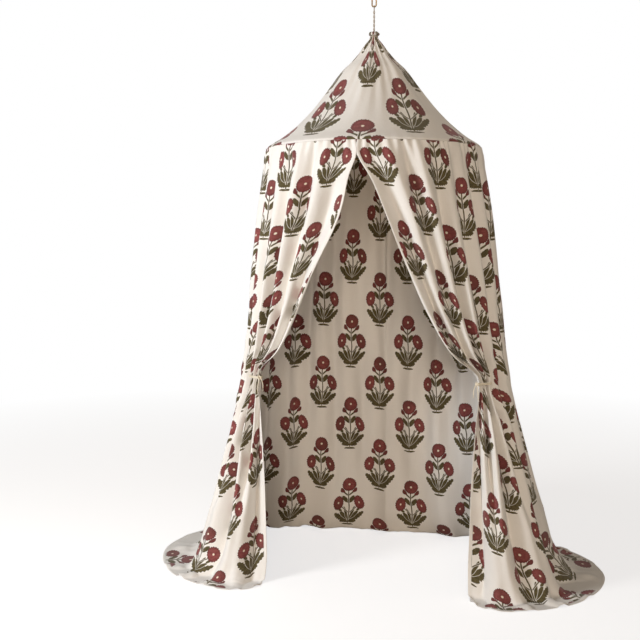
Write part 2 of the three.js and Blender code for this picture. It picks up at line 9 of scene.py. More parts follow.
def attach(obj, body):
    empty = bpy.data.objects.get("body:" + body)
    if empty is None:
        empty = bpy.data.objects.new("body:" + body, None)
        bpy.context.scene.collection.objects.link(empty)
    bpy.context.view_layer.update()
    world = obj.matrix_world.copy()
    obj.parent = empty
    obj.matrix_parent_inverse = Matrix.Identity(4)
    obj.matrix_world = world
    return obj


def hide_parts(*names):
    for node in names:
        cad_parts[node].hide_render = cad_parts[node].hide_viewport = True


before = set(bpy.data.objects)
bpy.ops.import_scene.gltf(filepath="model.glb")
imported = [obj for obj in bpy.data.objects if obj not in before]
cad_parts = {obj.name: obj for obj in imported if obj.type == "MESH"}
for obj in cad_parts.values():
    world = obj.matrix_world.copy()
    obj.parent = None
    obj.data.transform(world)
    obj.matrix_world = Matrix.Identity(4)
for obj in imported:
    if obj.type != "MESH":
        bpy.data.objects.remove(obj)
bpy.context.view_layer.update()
scene = bpy.context.scene
scene.view_settings.view_transform = "Standard"


# Camera: it stands four metres in front of the canopy and a little to its right, with the eye
# at 1.5 m, and looks slightly down past the canopy's left side.
camera_data = bpy.data.cameras.new("camera")
camera_data.sensor_width = 36
camera_data.lens = 51.3
camera_data.clip_end = 60
camera = bpy.data.objects.new("camera", camera_data)
camera.location = (0.572, -3.986, -1.11)
camera.rotation_euler = Vector((-0.199, 0.98, -0.0875)).to_track_quat("-Z", "Y").to_euler()
scene.collection.objects.link(camera)
scene.camera = camera


# Studio: a pale floor that runs out to white, a wide soft lamp at the left, a weaker warm light
# from the front and warm light from all round, weaker from above. A faint warm lamp under the
# roof stands for the light that comes through its cloth.
def add_node(tree, kind, inputs=(), **settings):
    """A new node with its settings, and with its inputs set to values or linked to sockets"""
    node = tree.nodes.new("ShaderNode" + kind)
    for name, value in settings.items():
        setattr(node, name, value)
    for key, value in dict(inputs).items():
        if isinstance(value, bpy.types.NodeSocket):
            tree.links.new(value, node.inputs[key])
        else:
            node.inputs[key].default_value = value
    return node


def calc(operation, *values):
    """One step of arithmetic on sockets and numbers, in the sockets' tree"""
    tree = next(value.id_data for value in values if isinstance(value, bpy.types.NodeSocket))
    return add_node(tree, "Math", enumerate(values), operation=operation).outputs[0]


def ranged(value, low, high, at_low=0.0, at_high=1.0):
    """A value taken from the range low to high to another range, and held in it"""
    return add_node(value.id_data, "MapRange", {
        "Value": value, "From Min": low, "From Max": high,
        "To Min": at_low, "To Max": at_high}).outputs[0]


def finished_mesh(name, shape):
    """The mesh of a bmesh that is ready"""
    mesh = bpy.data.meshes.new(name)
    shape.to_mesh(mesh)
    shape.free()
    return mesh


def put_on_show(name, mesh, material):
    """A new visible piece of one material, with its place in its mesh"""
    obj = bpy.data.objects.new(name, mesh)
    mesh.materials.append(material)
    scene.collection.objects.link(obj)
    return obj


floor_height = -2.61
floor_half_width = 40
floor_bm = bmesh.new()
bmesh.ops.create_grid(floor_bm, x_segments=1, y_segments=1, size=floor_half_width)
bmesh.ops.translate(floor_bm, vec=(0, 0, floor_height), verts=floor_bm.verts)
floor_paint = bpy.data.materials.new("pale floor")
floor_paint.use_nodes = True
tree = floor_paint.node_tree
tree.nodes.clear()
seen = add_node(tree, "LightPath")
matt = add_node(tree, "BsdfDiffuse", {"Color": (0.6, 0.57, 0.53, 1)})
glow = add_node(tree, "Emission", {"Color": (0.97, 0.98, 1, 1), "Strength": 0.7})
lit = add_node(tree, "AddShader", {0: matt.outputs[0], 1: glow.outputs[0]})
white = add_node(tree, "Emission", {"Color": (1, 1, 1, 1), "Strength": 1.0})
away = add_node(tree, "VectorMath", {0: add_node(
    tree, "TexCoord").outputs["Object"]}, operation="LENGTH").outputs["Value"]
shown = add_node(tree, "MixShader", {
    0: ranged(away, 3.2, 6.0), 1: lit.outputs[0], 2: white.outputs[0]})
either = add_node(tree, "MixShader", {
    0: seen.outputs["Is Camera Ray"], 1: matt.outputs[0], 2: shown.outputs[0]})
add_node(tree, "OutputMaterial", {"Surface": either.outputs[0]})
floor = put_on_show("studio_floor", finished_mesh("floor", floor_bm), floor_paint)

world = bpy.data.worlds.new("studio")
world.use_nodes = True
scene.world = world
tree = world.node_tree
tree.nodes.clear()
seen = add_node(tree, "LightPath")
shown = calc("MAXIMUM", seen.outputs["Is Camera Ray"],
             calc("MAXIMUM", seen.outputs["Is Glossy Ray"],
                  seen.outputs["Is Transmission Ray"]))
aim = add_node(tree, "SeparateXYZ", {0: add_node(
    tree, "TexCoord").outputs["Object"]}).outputs["Z"]
soft = add_node(tree, "Background", {
    "Color": (1, 0.86, 0.7, 1), "Strength": ranged(aim, 0.1, 1.0, 0.29, 0.16)})
white = add_node(tree, "Background", {"Color": (1, 1, 1, 1), "Strength": 1.0})
sky = add_node(tree, "MixShader", {0: shown, 1: soft.outputs[0], 2: white.outputs[0]})
add_node(tree, "OutputWorld", {"Surface": sky.outputs[0]})


def add_lamp(name, kind, aim, **settings):
    """A lamp that shines along aim. The camera doesn't see an area lamp"""
    data = bpy.data.lights.new(name, kind)
    for label, value in settings.items():
        setattr(data, label, value)
    lamp = bpy.data.objects.new(name, data)
    lamp.rotation_euler = Vector(aim).to_track_quat("-Z", "Y").to_euler()
    lamp.visible_camera = kind != "AREA"
    scene.collection.objects.link(lamp)
    return lamp


window = add_lamp("window", "AREA", (3.2, 2.4, -0.6), shape="DISK", size=1.3, energy=116,
                  color=(0.91, 0.95, 1))
window.location = (-3.1, -2.6, -0.6)
add_lamp("room", "SUN", (-0.16, 1, -0.1), energy=1.33, angle=0.45, color=(1, 0.84, 0.68))
under_roof = add_lamp("light through the roof", "AREA", (0, 0.55, -0.2), shape="DISK", size=0.4,
                      spread=1.7, energy=0.18, color=(1, 0.74, 0.5))
under_roof.location = (0, -0.1, -0.8)


# Ceiling fittings: plate, swivel cup with its washer and eye, snap link with its gate and pin,
# all of satin brass that has darkened with age. The link hangs in the eye.
def start_material(name, rough=0.5, metal=0.0):
    """A new material with its tree and its shader, whose plain values are set here"""
    material = bpy.data.materials.new(name)
    material.use_nodes = True
    shader = material.node_tree.nodes["Principled BSDF"]
    shader.inputs["Roughness"].default_value = rough
    shader.inputs["Metallic"].default_value = metal
    return material, material.node_tree, shader


def between(factor, low, high):
    """A colour between two, by a factor from 0 to 1"""
    tree = factor.id_data
    mix = add_node(tree, "Mix", data_type="RGBA")
    for socket, value in (("A", low), ("B", high)):
        target = [s for s in mix.inputs if s.name == socket and s.type == "RGBA"][0]
        if isinstance(value, bpy.types.NodeSocket):
            tree.links.new(value, target)
        else:
            target.default_value = (*value, 1)
    tree.links.new(factor, mix.inputs["Factor"])
    return [s for s in mix.outputs if s.type == "RGBA"][0]


def noise(vector, scale, detail, **more):
    """Cloudy noise from 0 to 1"""
    return add_node(vector.id_data, "TexNoise", {
        "Vector": vector, "Scale": scale, "Detail": detail, **more}).outputs["Fac"]


def set_relief(height, strength, distance, shader=None, **more):
    """A relief by height, on a shader if one is given"""
    relief = add_node(height.id_data, "Bump", {
        "Height": height, "Strength": strength, "Distance": distance, **more}).outputs[0]
    if shader:
        height.id_data.links.new(relief, shader.inputs["Normal"])
    return relief


brass, tree, shader = start_material("aged brass", metal=1.0)
spot = add_node(tree, "TexCoord").outputs["Object"]
cloudy = noise(spot, 90.0, 6.0, Roughness=0.6)
brushed = add_node(tree, "Mapping", {"Vector": spot, "Scale": (1, 1, 0.08)})
scratches = noise(brushed.outputs[0], 1800.0, 3.0)
tarnish = ranged(cloudy, 0.35, 0.68)
tree.links.new(between(tarnish, (0.35, 0.225, 0.1), (0.2, 0.12, 0.05)),
               shader.inputs["Base Color"])
tree.links.new(ranged(cloudy, 0.3, 0.7, 0.24, 0.5), shader.inputs["Roughness"])
eased = add_node(tree, "Bevel", {"Radius": 0.0009}, samples=8)
set_relief(scratches, 0.12, 0.0002, shader, Normal=eased.outputs[0])
for node in ("ceiling_plate", "swivel_cup", "swivel_washer", "swivel_eye", "snap_link",
             "link_gate", "gate_pin", "ferrule_right", "ferrule_left"):
    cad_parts[node].material_slots[0].material = brass


# Hanging cord: one length of soft cotton cord goes up from its knot, over the link's lower bend
# and back down, with its two legs twisted round each other. Each cord is three laid strands.
def run_along(line):
    """How far along the line each of its points is"""
    return np.concatenate([[0], np.cumsum(np.linalg.norm(np.diff(line, axis=0), axis=1))])


def evenly(line, step):
    """The line again, with points one step apart"""
    line = np.array(line, dtype=float)
    run = run_along(line)
    along = np.linspace(0, run[-1], max(2, round(run[-1] / step)) + 1)
    return np.stack([np.interp(along, run, line[:, axis]) for axis in range(3)], axis=1)


def laid_cord(name, line, diameter, strands=3, lay=5.0, sides=3):
    """Strands twisted round a line, each turn as long as lay diameters"""
    points = evenly(line, diameter * lay / 10)
    run = run_along(points)
    ahead = np.gradient(points, run, axis=0)
    ahead /= np.linalg.norm(ahead, axis=1)[:, None]
    across = np.empty_like(points)
    held = np.cross(ahead[0], (0.31, 0.87, 0.38))
    for i, way in enumerate(ahead):
        held = held - way * held.dot(way)
        held /= np.linalg.norm(held)
        across[i] = held
    beside = np.cross(ahead, across)
    thick = diameter / 2 * (0.54 if strands > 2 else 0.52)
    curve = bpy.data.curves.new(name, "CURVE")
    curve.dimensions = "3D"
    curve.bevel_depth = thick
    curve.bevel_resolution = sides
    curve.use_fill_caps = True
    for strand in range(strands):
        turn = tau * (strand / strands + run / (diameter * lay))
        reach = (diameter / 2 - thick) if strands > 1 else 0
        round_line = np.cos(turn)[:, None] * across + np.sin(turn)[:, None] * beside
        spots = points + reach * round_line
        spline = curve.splines.new("POLY")
        spline.points.add(len(spots) - 1)
        spline.points.foreach_set("co", np.c_[spots, np.ones(len(spots))].ravel())
    holder = bpy.data.objects.new(name, curve)
    scene.collection.objects.link(holder)
    mesh = bpy.data.meshes.new_from_object(
        holder.evaluated_get(bpy.context.evaluated_depsgraph_get()))
    bpy.data.objects.remove(holder)
    bpy.data.curves.remove(curve)
    mesh.name = name
    mesh.materials.clear()
    for face in mesh.polygons:
        face.use_smooth = True
        face.material_index = 0
    return mesh


cord_cotton, tree, shader = start_material("natural cotton cord", rough=0.9)
shader.inputs["Sheen Weight"].default_value = 0.25
spot = add_node(tree, "TexCoord").outputs["Object"]
fibres = noise(spot, 1400.0, 4.0, Roughness=0.65)
soil = noise(spot, 45.0, 3.0)
tone = calc("ADD", calc("MULTIPLY", fibres, 0.7), calc("MULTIPLY", soil, 0.3))
tree.links.new(between(tone, (0.3, 0.24, 0.18), (0.6, 0.52, 0.43)),
               shader.inputs["Base Color"])
set_relief(fibres, 0.5, 0.0003, shader)

cord_diameter = 0.004
leg_offset, leg_turns = 0.0023, 4
cord_low, leg_top = -0.2697, -0.1255
bend_height, bend_reach = -0.1115, 0.0053


def leg(side, count=60):
    """One leg of the cord, upwards, with its foot at the back (1) or the front (-1)"""
    rise = np.linspace(0, 1, count)
    turn = tau * leg_turns * rise
    return np.stack([side * leg_offset * np.sin(turn), side * leg_offset * np.cos(turn),
                     cord_low + rise * (leg_top - cord_low)], axis=1)


over = np.linspace(0, pi, 17)
bend = np.stack([0 * over, bend_reach * np.cos(over), bend_height + bend_reach * np.sin(over)],
                axis=1)
cord_route = evenly(np.concatenate([leg(1), bend, leg(-1)[::-1]]), 0.001)
hanging_cord = put_on_show(
    "cotton_hanging_cord", laid_cord("hanging cord", cord_route, cord_diameter), cord_cotton)
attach(hanging_cord, "canopy")
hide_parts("hanging_cord")


# Stopper knot: the two cord ends are tied together under the wooden plug, so that the plug and
# all the cloth hang on them. Two short ends stick out below it.
def knotted(middle, reach, height, facing=(0, 1)):
    """An overhand knot's line round its middle"""
    turn = np.linspace(0.25, tau - 0.25, 90)
    wide = (np.sin(turn) + 2 * np.sin(2 * turn)) / 3 * reach
    deep = (np.cos(turn) - 2 * np.cos(2 * turn)) / 3 * reach
    tall = -np.sin(3 * turn) * height
    out = np.array([facing[0], facing[1], 0.0])
    side = np.array([-facing[1], facing[0], 0.0])
    return (np.array(middle) + wide[:, None] * side + deep[:, None] * out
            + tall[:, None] * np.array([0, 0, 1.0]))


def joined(name, meshes):
    """One mesh of several, which are used up"""
    whole = bmesh.new()
    for mesh in meshes:
        whole.from_mesh(mesh)
        bpy.data.meshes.remove(mesh)
    return finished_mesh(name, whole)


knot_height = -0.2785
short_ends = [
    laid_cord("end", [(0.002 * s, 0.001, knot_height), (0.004 * s, 0.002, knot_height - 0.012),
                      (0.006 * s, 0.001, knot_height - 0.017 - 0.004 * s)], diameter=0.0038)
    for s in (1, -1)]
stopper_line = knotted((0, 0, knot_height), reach=0.0066, height=0.0052)
stopper = joined("stopper knot", [laid_cord("knot", stopper_line, diameter=0.0044), *short_ends])
stopper_knot = put_on_show("cotton_stopper_knot", stopper, cord_cotton)
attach(stopper_knot, "canopy")
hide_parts("cord_knot")


# Plug: turned beech, oiled. The roof's cloth is bound into its groove and its skirt fills the
# top of the cone. Its grain runs upright.
def new_group(name, inputs, outputs):
    """A shader node group with its input and output nodes"""
    group = bpy.data.node_groups.new(name, "ShaderNodeTree")
    for label, kind in inputs:
        group.interface.new_socket(label, in_out="INPUT", socket_type="NodeSocket" + kind)
    for label, kind in outputs:
        group.interface.new_socket(label, in_out="OUTPUT", socket_type="NodeSocket" + kind)
    return (group, group.nodes.new("NodeGroupInput").outputs,
            group.nodes.new("NodeGroupOutput").inputs)


grain, grain_in, grain_out = new_group(
    "wood grain", [("Vector", "Vector"), ("Along", "Vector"), ("Fineness", "Float")],
    [("Tone", "Float"), ("Height", "Float")])
drawn = add_node(grain, "VectorMath", {0: grain_in["Vector"], 1: grain_in["Along"]},
                 operation="MULTIPLY")
bands = noise(drawn.outputs[0], grain_in["Fineness"], 5.0, Distortion=0.6)
pores = noise(drawn.outputs[0], calc("MULTIPLY", grain_in["Fineness"], 6.0), 2.0)
grain.links.new(calc("ADD", calc("MULTIPLY", bands, 0.75),
                     calc("MULTIPLY", pores, 0.25)), grain_out["Tone"])
grain.links.new(pores, grain_out["Height"])


def wood(name, light, dark, along, fineness, rough):
    """Wood or cane with its grain drawn out where along is small"""
    material, tree, shader = start_material(name, rough=rough)
    spot = add_node(tree, "TexCoord").outputs["Object"]
    lines = add_node(tree, "Group", {
        "Vector": spot, "Along": along, "Fineness": fineness}, node_tree=grain).outputs
    tree.links.new(between(ranged(lines["Tone"], 0.35, 0.65), dark, light),
                   shader.inputs["Base Color"])
    set_relief(lines["Height"], 0.25, 0.0003, shader)
    return material


beech = wood("oiled beech", light=(0.56, 0.38, 0.21), dark=(0.4, 0.25, 0.125),
             along=(1, 1, 0.12), fineness=260.0, rough=0.5)
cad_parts["apex_plug"].material_slots[0].material = beech


# Hoop: two half rounds of peeled cane, butted inside brass ferrules at the sides and sewn into
# the casing, whose mouth lets the cane show on the inner side.
cane = wood("waxed cane", light=(0.62, 0.45, 0.26), dark=(0.44, 0.29, 0.15),
            along=(1, 1, 1), fineness=150.0, rough=0.42)
for node in ("hoop_back", "hoop_front"):
    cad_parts[node].material_slots[0].material = cane


# Printed cotton: plain-weave cloth, off-white, block printed with a traditional flowering plant
# in brick red and olive in half-drop rows. All the cloth of the canopy is cut from it.
leaf, leaf_in, leaf_out = new_group("leaf", [
    ("Vector", "Vector"), ("Length", "Float"), ("Half Width", "Float"), ("Bend", "Float"),
    ("Fullness", "Float"), ("Teeth", "Float"), ("Bite", "Float")], [("Inside", "Float")])
place = add_node(leaf, "SeparateXYZ", {0: leaf_in["Vector"]}).outputs
held = calc("MAXIMUM", calc("MINIMUM", place[0], 1.0), 0.0)
round_off = calc("MULTIPLY", calc("MULTIPLY", held, calc("SUBTRACT", 1.0, held)), 4.0)
swell = calc("POWER", round_off, leaf_in["Fullness"])
teeth = calc("MULTIPLY", calc("SINE", calc("MULTIPLY", held, leaf_in["Teeth"])), leaf_in["Bite"])
half = calc("MULTIPLY", swell, calc("ADD", leaf_in["Half Width"], teeth))
bowed = calc("MULTIPLY", leaf_in["Bend"], calc("MULTIPLY", held, held))
off_line = calc("ABSOLUTE", calc("SUBTRACT", place[1], bowed))
past = calc("MULTIPLY", calc("ABSOLUTE", calc("SUBTRACT", place[0], held)), leaf_in["Length"])
leaf.links.new(calc("SUBTRACT", calc("SUBTRACT", half, off_line), past), leaf_out["Inside"])

bloom, bloom_in, bloom_out = new_group("bloom", [
    ("Vector", "Vector"), ("Size", "Float"), ("Petals", "Float"), ("Bite", "Float")],
    [("Inside", "Float"), ("Radius", "Float")])
place = add_node(bloom, "SeparateXYZ", {0: bloom_in["Vector"]}).outputs
radius = add_node(bloom, "VectorMath", {0: bloom_in["Vector"]},
                  operation="LENGTH").outputs["Value"]
petals = calc("SINE", calc("MULTIPLY", calc("ARCTAN2", place[1], place[0]), bloom_in["Petals"]))
edge = calc("ADD", 1.0, calc("MULTIPLY", petals, bloom_in["Bite"]))
bloom.links.new(calc("MULTIPLY", calc("SUBTRACT", edge, radius), bloom_in["Size"]),
                bloom_out["Inside"])
bloom.links.new(radius, bloom_out["Radius"])

# Leaves and stems in centimetres: foot x, y, length, lean in degrees, half width, bend,
# fullness, teeth, bite. The tuft covers the foot of the leaves. Blooms and the ground line:
# middle x, y, half sizes, lean, petals, bite. The motif is mirrored, so x is never below 0.
leaf_table = [
    (0.3, -10.6, 8.6, 35, 1.3, 0.9, 0.5, 42, 0.22),
    (0.4, -9.3, 6.4, 50, 0.88, 0.3, 0.55, 0, 0.0),
    (0.5, -9.0, 7.3, 76, 0.58, -0.3, 0.5, 0, 0.0),
    (3.5, -4.3, 2.2, 40, 0.6, 0.2, 0.5, 0, 0.0),
    (0.2, -5.6, 5.2, 50, 0.22, -0.5, 0.08, 0, 0.0),
    (0.0, -0.1, 4.5, 47, 1.0, 0.35, 0.5, 26, 0.06),
    (0.0, 3.3, 4.0, 47, 0.36, -0.4, 0.2, 0, 0.0),
    (0.0, -12.2, 20.6, 90, 0.26, 0.0, 0.08, 0, 0.0),
]
tuft = (0.0, -10.9, 3.9, 9, 0.85, 0.3, 0.4, 34, 0.2)
bloom_table = [
    (0.0, 9.2, 3.35, 3.4, 0, 24, 0.035),
    (4.9, 0.1, 2.3, 3.6, 14, 18, 0.045),
    (2.95, 6.3, 1.5, 0.82, 52, 3, 0.12),
]
ground_line = (0.0, -12.45, 2.7, 0.48, 0, 9, 0.06)
leaf_gap, bud_size = 0.13, 2
eye_radius, ring_radius = 0.14, 0.82

stamp, stamp_in, stamp_out = new_group("block print", [
    ("Vector", "Vector"), ("Cell Width", "Float"), ("Cell Height", "Float"), ("Size", "Float")],
    [("Red", "Float"), ("Green", "Float"), ("Halo", "Float"), ("Eye", "Float"),
     ("Ring", "Float"), ("Ink", "Float"), ("Batch", "Float")])
wander = add_node(stamp, "TexNoise", {
    "Vector": stamp_in["Vector"], "Scale": 60.0, "Detail": 2.0})
pushed = add_node(stamp, "VectorMath", {
    0: wander.outputs["Color"], 1: (0.5, 0.5, 0.5)}, operation="SUBTRACT")
pushed = add_node(stamp, "VectorMath", {
    0: pushed.outputs[0], 1: (0.0035, 0.0035, 0), 2: stamp_in["Vector"]},
    operation="MULTIPLY_ADD")
place = add_node(stamp, "SeparateXYZ", {0: pushed.outputs[0]}).outputs
folded = []
for axis, cell in ((0, "Cell Width"), (1, "Cell Height")):
    whole = stamp_in[cell]
    half = calc("MULTIPLY", whole, 0.5)
    low = calc("MULTIPLY", half, -1.0)
    first = calc("WRAP", place[axis], half, low)
    second = calc("WRAP", calc("ADD", place[axis], half), half, low)
    share = calc("DIVIDE", calc("ABSOLUTE", first), whole)
    folded.append((first, second, share))
far = calc("GREATER_THAN", calc("ADD", folded[0][2], folded[1][2]), 0.5)
near = calc("SUBTRACT", 1.0, far)
local = []
for first, second, _ in folded:
    metres = calc("ADD", calc("MULTIPLY", first, near), calc("MULTIPLY", second, far))
    local.append(calc("DIVIDE", calc("MULTIPLY", metres, 100.0), stamp_in["Size"]))
sway = calc("MULTIPLY", calc("SINE", calc("MULTIPLY", local[1], 0.45)), 0.22)
mirrored = add_node(stamp, "CombineXYZ", {
    0: calc("ABSOLUTE", calc("ADD", local[0], sway)), 1: local[1]}).outputs[0]


def placed(group, spot, scale, lean, values):
    """A leaf or a bloom at its place in the motif"""
    to_shape = add_node(stamp, "Mapping", {
        "Vector": mirrored, "Location": (*spot, 0), "Rotation": (0, 0, lean * pi / 180),
        "Scale": (*scale, 1)}, vector_type="TEXTURE")
    return add_node(stamp, "Group", {"Vector": to_shape.outputs[0], **values},
                    node_tree=group).outputs


def leaf_at(x, y, length, lean, half_width, bow, fullness, teeth, bite):
    """How far inside a leaf's edge a point is, in centimetres"""
    return placed(leaf, (x, y), (length, 1), lean, {
        "Length": length, "Half Width": half_width, "Bend": bow, "Fullness": fullness,
        "Teeth": teeth, "Bite": bite})["Inside"]


def bloom_at(x, y, wide, tall, lean, petals, bite):
    """How far inside a bloom's edge a point is, and its distance from the middle"""
    found = placed(bloom, (x, y), (wide, tall), lean, {
        "Size": wide, "Petals": petals, "Bite": bite})
    return found["Inside"], found["Radius"]


green = bloom_at(*ground_line)[0]
for row in leaf_table:
    over = leaf_at(*row)
    parted = calc("MINIMUM", green, calc("SUBTRACT", -leaf_gap, over))
    green = calc("MAXIMUM", parted, over)
green = calc("MAXIMUM", green, leaf_at(*tuft))
red, nearest = None, None
for row in bloom_table:
    inside, radius = bloom_at(*row)
    red = inside if red is None else calc("MAXIMUM", red, inside)
    if row[2] > bud_size:
        nearest = radius if nearest is None else calc("MINIMUM", nearest, radius)


def edge_of(value, softness, shift=0.0):
    """1 inside an edge and 0 outside, over a soft width in centimetres"""
    return ranged(value, -softness + shift, softness + shift)


stamp.links.new(edge_of(red, 0.08), stamp_out["Red"])
stamp.links.new(edge_of(green, 0.08), stamp_out["Green"])
stamp.links.new(edge_of(calc("MAXIMUM", red, green), 0.25, -0.3), stamp_out["Halo"])
stamp.links.new(calc("SUBTRACT", 1.0, edge_of(nearest, 0.03, eye_radius)), stamp_out["Eye"])
stamp.links.new(edge_of(nearest, 0.12, ring_radius), stamp_out["Ring"])
batch = noise(stamp_in["Vector"], 5.0, 1.0)
stamp.links.new(ranged(batch, 0.42, 0.62), stamp_out["Batch"])
ink = noise(stamp_in["Vector"], 85.0, 6.0, Roughness=0.72)
stamp.links.new(ranged(ink, 0.3, 0.7), stamp_out["Ink"])

thread_pitch = 0.0009
weave, weave_in, weave_out = new_group(
    "plain weave", [("Vector", "Vector"), ("Thread", "Float")],
    [("Height", "Float"), ("Slub", "Float")])
place = add_node(weave, "VectorMath", {
    0: weave_in["Vector"], "Scale": calc("DIVIDE", pi, weave_in["Thread"])},
    operation="SCALE")
threads = add_node(weave, "SeparateXYZ", {0: place.outputs[0]}).outputs
crossing = calc("MULTIPLY", calc("SINE", threads[0]), calc("SINE", threads[1]))
slubs = []
for stretch in ((1, 0.03, 1), (0.03, 1, 1)):
    drawn = add_node(weave, "Mapping", {"Vector": weave_in["Vector"], "Scale": stretch})
    slubs.append(noise(drawn.outputs[0], 700.0, 2.0))
slub = calc("MULTIPLY", calc("ADD", slubs[0], slubs[1]), 0.5)
weave.links.new(calc("ADD", calc("MULTIPLY", crossing, 0.35), slub), weave_out["Height"])
weave.links.new(slub, weave_out["Slub"])


def printed_cotton(name, cell_width, cell_height, size):
    """Cloth whose UV map is its flat cut in metres. The hem attribute marks turned edges"""
    material, tree, shader = start_material(name, rough=0.88)
    shader.inputs["Sheen Weight"].default_value = 0.12
    flat = add_node(tree, "UVMap", uv_map="flat_cut").outputs[0]
    cloth = add_node(tree, "Group", {
        "Vector": flat, "Thread": thread_pitch}, node_tree=weave).outputs
    printed = add_node(tree, "Group", {
        "Vector": flat, "Cell Width": cell_width, "Cell Height": cell_height, "Size": size},
        node_tree=stamp).outputs
    hem = add_node(tree, "Attribute", attribute_name="hem").outputs["Fac"]
    open_cloth = calc("SUBTRACT", 1.0, hem)
    ground = between(cloth["Slub"], (0.765, 0.733, 0.69), (0.89, 0.866, 0.83))
    ground = between(calc("MULTIPLY", printed["Halo"], 0.35), ground,
                     (0.9, 0.875, 0.83))
    olive = between(printed["Ink"], (0.04, 0.032, 0.01), (0.13, 0.1, 0.038))
    brick = between(printed["Ink"], (0.13, 0.022, 0.021), (0.31, 0.08, 0.075))
    for mark, dark in (("Batch", (0.105, 0.03, 0.022)), ("Ring", (0.085, 0.017, 0.015))):
        brick = between(calc("MULTIPLY", printed[mark], 0.6), brick, dark)
    colour = ground
    for mark, paint in (("Green", olive), ("Red", brick), ("Eye", (0.84, 0.76, 0.62))):
        shown = calc("MULTIPLY", printed[mark], open_cloth)
        colour = between(shown, colour, paint)
    tree.links.new(colour, shader.inputs["Base Color"])
    pressed = add_node(tree, "Mapping", {"Vector": flat, "Scale": (1, 0.55, 1)})
    creases = noise(pressed.outputs[0], 16.0, 3.0, Distortion=0.7)
    crumpled = set_relief(creases, 0.3, 0.006)
    set_relief(cloth["Height"], 0.22, 0.0003, shader, Normal=crumpled)
    return material


# Roof: printed cotton gathered on the plug's neck, with a ruffled knob of its ends above the
# binding. It falls in soft pleats to the hoop and its hem is sewn down round the casing.
def curve_between(value, slope, k, width, part):
    """The part of the way from value k to the next, along a curve with the slopes of both"""
    return ((2 * part**3 - 3 * part**2 + 1) * value[k]
            + (3 * part**2 - 2 * part**3) * value[k + 1]
            + width * ((part**3 - 2 * part**2 + part) * slope[k]
                       + (part**3 - part**2) * slope[k + 1]))


def smooth_through(known, at):
    """Smooth curve through rows of [position, values...], with its ends held"""
    known = np.array(known, dtype=float)
    place, value = known[:, 0], known[:, 1:]
    slope = np.gradient(value, place, axis=0)
    k = np.clip(np.searchsorted(place, at, side="right") - 1, 0, len(place) - 2)
    width = (place[k + 1] - place[k])[:, None]
    part = ((at - place[k]) / width[:, 0])[:, None]
    return curve_between(value, slope, k, width, part)


def ripple(x, y, seed):
    """Smooth random height from -1 to 1, one swell for each unit of x and y"""
    size = 97
    table = np.random.default_rng(seed).uniform(-1, 1, (size, size))
    left, low = np.floor(x).astype(int), np.floor(y).astype(int)
    across, up = x - left, y - low
    across, up = across**2 * (3 - 2 * across), up**2 * (3 - 2 * up)
    corner = [[table[(left + i) % size, (low + j) % size] for j in (0, 1)] for i in (0, 1)]
    return ((corner[0][0] * (1 - across) + corner[1][0] * across) * (1 - up)
            + (corner[0][1] * (1 - across) + corner[1][1] * across) * up)


def outline(shape, spots):
    """Corners in front of the axis at these radii and heights, joined in a row"""
    corners = [shape.verts.new((0, -radius, height)) for radius, height in spots]
    for pair in zip(corners, corners[1:]):
        shape.edges.new(pair)
    return corners


def spin_round(shape, steps):
    """Spin the outline round the upright axis into a closed shell"""
    bmesh.ops.spin(shape, geom=shape.verts[:] + shape.edges[:], cent=(0, 0, 0), axis=(0, 0, 1),
                   dvec=(0, 0, 0), angle=tau, steps=steps, use_merge=True)
    bmesh.ops.remove_doubles(shape, verts=shape.verts, dist=1e-6)


def turns_of(face):
    """Each loop of a face with its angle round the axis, without a jump at the back"""
    middle = face.calc_center_median()
    about = np.arctan2(middle.x, -middle.y)
    for loop in face.loops:
        turn = np.arctan2(loop.vert.co.x, -loop.vert.co.y)
        yield loop, turn + tau * round((about - turn) / tau)


hoop_radius = 0.45
hoop_height = -0.72
apex_height, neck_top, roof_top, roof_edge = -0.2175, -0.2335, -0.2415, -0.7107
cone_shares = [(0.06, 0.078), (0.125, 0.127), (0.2, 0.19), (0.3, 0.295), (0.45, 0.413),
               (0.66, 0.59), (0.83, 0.769), (0.93, 0.9), (1, 1)]
hem_round = 0.0108
cone_rows = [(apex_height, 0.0072), (-0.2183, 0.0118), (-0.2205, 0.0172), (-0.2245, 0.0205),
             (-0.2285, 0.0198), (-0.2318, 0.0162), (-0.2345, 0.0137), (-0.238, 0.0137),
             (roof_top, 0.0146)]
cone_rows += [(roof_top - down * (roof_top - roof_edge), out * hoop_radius)
              for down, out in cone_shares[:-1]]
cone_rows += [(hoop_height + hem_round * sin(turn), hoop_radius + hem_round * cos(turn))
              for turn in (1.15, 0.7, 0.25, -0.1)]
cone_rows = np.array(cone_rows)
slant = run_along(cone_rows)
# Rows lie closer at the neck and at the hem
fall = np.concatenate([np.linspace(0, 0.045, 20), np.linspace(0.052, 0.6, 62),
                       np.linspace(0.607, slant[-1], 22)])
cone_line = smooth_through(np.c_[slant, cone_rows], fall)

